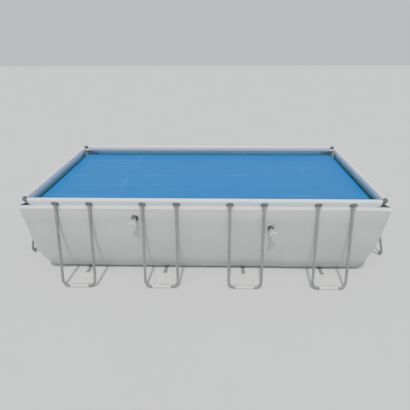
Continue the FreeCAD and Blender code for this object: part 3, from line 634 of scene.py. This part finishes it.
tape_thick = 2.2 * MM
tape_levels = [(band_foot_z - 0.001, 2.2), (band_foot_z + 0.002, 3.2), (1.168, 3.4), (1.184, 3.4),
               (1.198, 3.2), (seam_z, 2.4)]
tape = grid_piece("seam_tape", [skin_ring(z, out * MM, lift=ear_lift) for z, out in tape_levels])
thicken(tape, tape_thick)
belongs(tape, finish_of("white seam tape", paint_tape))


# ---------------------------------------------- beams and corner joints
# Coated steel tube runs inside the sleeves. Moulded elbows show between
# the sleeves' ends, plugged in and held by spring buttons underneath.
def coated(light, dark, gloss):
    def paint(place):
        wear = place.noise(5.0, 5.0)
        return {
            "Base_Color": wear.between(0.35, 0.7).colour(light, dark),
            "Roughness": gloss + wear * 0.16,
            "Coat_Weight": 0.25,
            "Normal": place.noise(240.0, 2.0).bump(0.25 * MM),
        }
    return paint


def moulded(light, dark, gloss=0.40):
    def paint(place):
        flow = place.noise(14.0, 3.0)
        return {
            "Base_Color": flow.colour(light, dark),
            "Roughness": gloss + flow * 0.16,
            "Normal": place.noise(650.0, 2.0).bump(0.15 * MM),
        }
    return paint


def dress(finish, *starts):
    """Give the frame's own pieces whose names start so a finish."""
    for name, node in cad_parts.items():
        if name.startswith(starts):
            node.data.materials.clear()
            node.data.materials.append(finish)


dress(finish_of("pale coated steel", coated((0.62, 0.65, 0.66), (0.56, 0.59, 0.60), 0.30)), "beam_")
dress(finish_of("corner plastic", moulded((0.065, 0.07, 0.073), (0.09, 0.096, 0.10))), "corner_joint_")


# --------------------------------------- side supports and their collars
# Each support is one bent steel tube, coated mid grey, whose two legs are
# pushed up into a beam. A dark moulded collar closes each leg's window.
dress(finish_of("grey coated steel", coated((0.20, 0.208, 0.20), (0.16, 0.168, 0.16), 0.28)), "support_")
dress(finish_of("collar plastic", moulded((0.075, 0.08, 0.082), (0.10, 0.105, 0.105))), "leg_collars")


# --------------------------------------------- clips, buttons and rods
# Spring steel hairpins push round buttons out through the legs and the
# beams' joints, and white moulded rods hold the straps.
def paint_spring(place):
    brushed = place.scaled(20, 20, 400).noise(3.0)
    return {
        "Base_Color": brushed.colour((0.48, 0.49, 0.51), (0.62, 0.63, 0.65)),
        "Metallic": 1.0,
        "Roughness": 0.28 + brushed * 0.2,
        "Normal": brushed.bump(0.1 * MM),
    }


dress(finish_of("spring steel", paint_spring), "spring_clips", "leg_buttons", "rail_buttons")
dress(finish_of("white plastic", moulded((0.68, 0.69, 0.68), (0.60, 0.61, 0.60))), "connecting_rods")


# ------------------------------------------------------ plunger valves
# Two shut-off valves on the front wall: a pale moulded barrel with a
# hose port, a dark screw knob on a plunger, and dark ribbed nuts, with a
# strainer connector through the wall between black rubber washers.
dress(finish_of("pale valve plastic", moulded((0.58, 0.615, 0.60), (0.51, 0.545, 0.53), 0.34)),
      "valve_left_body", "valve_right_body", "strainer_connectors", "drain_valve",
      "valve_left_plunger", "valve_right_plunger")
dress(finish_of("dark valve plastic", moulded((0.055, 0.058, 0.06), (0.08, 0.083, 0.085), 0.36)),
      "valve_left_knob", "valve_right_knob", "valve_left_union_nut", "valve_right_union_nut",
      "lock_nuts", "drain_cap")
dress(finish_of("black rubber", moulded((0.02, 0.02, 0.021), (0.03, 0.03, 0.031), 0.62)), "rubber_washers")


# ---------------------------------------------------------- solar cover
# One sheet of blue bubble film lies on the water, trimmed to fit inside
# the rail. It keeps the creases of its packing, and its edges lift a
# little where the film has curled.
film_low, film_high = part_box("solar_cover")
film_corner, film_thick = 0.070, 4.0 * MM
film_mid_z = (film_low.z + film_high.z) / 2
cross_creases = (-1.46, 0.21, 1.84)
long_creases = (-0.83, -0.41, 0.06, 0.49, 0.88)


def crease(offset, width=0.022):
    return math.exp(-((offset / width) ** 2))


def film_height(x, y):
    edge = min(film_high.x - abs(x), film_high.y - abs(y))
    billow = noise.noise((x * 0.9, y * 1.3, 3.0)) * 3.0 + noise.noise((x * 2.6, y * 3.4, 8.0)) * 1.6
    folds = 0.0
    for line in cross_creases:
        off_line = x - line - 0.012 * math.sin(y * 2 + line)
        folds += crease(off_line) * (0.4 + noise.noise((line * 7, y * 1.2, 1.0)))
    for line in long_creases:
        off_line = y - line - 0.010 * math.sin(x + line)
        folds += crease(off_line) * (0.5 + noise.noise((x * 0.8, line * 7, 4.0)))
    curl = math.exp(-edge / 0.03) * noise.noise((x * 3, y * 3, 6.0)) * 3.5
    return film_mid_z + film_thick / 2 + (billow + folds * 3.6 + curl) * MM


def film_row(share, half_x, half_y, counts):
    """One row across the film; its ends follow the rounded corners."""
    y = half_y * share
    into = max(0.0, abs(y) - (half_y - film_corner))
    reach = half_x - film_corner + math.sqrt(max(film_corner**2 - into**2, 0.0))
    xs = [reach * s for s in counts]
    return [(x + 0.003 * noise.noise((9, y * 2, 2)), y, film_height(x, y)) for x in xs]


across_shares = sorted({round(s, 5) for s in np.linspace(-0.97, 0.97, 92)}
                       | {round(s * (1 - 0.027 * (1 - math.cos(math.radians(a)))), 5)
                          for s in (-1, 1) for a in (0, 18, 36, 54, 72, 90)})
along_shares = np.linspace(-1, 1, 186)
film_rows = [film_row(share, film_high.x, film_high.y, along_shares) for share in across_shares]
film = thicken(grid_piece("solar_cover_film", film_rows, round_trip=False), film_thick)


def paint_film(place):
    dents = place.noise(3.0, 5.0)
    x, y = place.part("X"), place.part("Y")
    marks = None
    for line in cross_creases:
        mark = x.away_from(line).between(0.030, 0.004)
        marks = mark if marks is None else marks.maths("MAXIMUM", mark)
    for line in long_creases:
        marks = marks.maths("MAXIMUM", y.away_from(line).between(0.030, 0.004))
    # The film's colour is made lighter along its crease lines.
    lighter_creases = marks * place.noise(1.1, 2.0).between(0.46, 0.66)
    bubble = place.node("TexVoronoi", {"feature": "SMOOTH_F1"}, Vector=place.scaled(1, 1, 0),
                        Scale=95.0, Randomness=0.18)
    base = dents.colour((0.0, 0.122, 0.40), (0.0, 0.15, 0.45))
    return {
        "Base_Color": (lighter_creases * 0.35).colour(base, (0.03, 0.29, 0.60)),
        "Roughness": 0.42 + dents * 0.16,
        "Specular_IOR_Level": 0.10,
        "Normal": (1.0 - bubble * 1.0).bump(1.4 * MM, 0.45),
    }


belongs(film, finish_of("blue bubble film", paint_film), "solar_cover")
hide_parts("solar_cover")
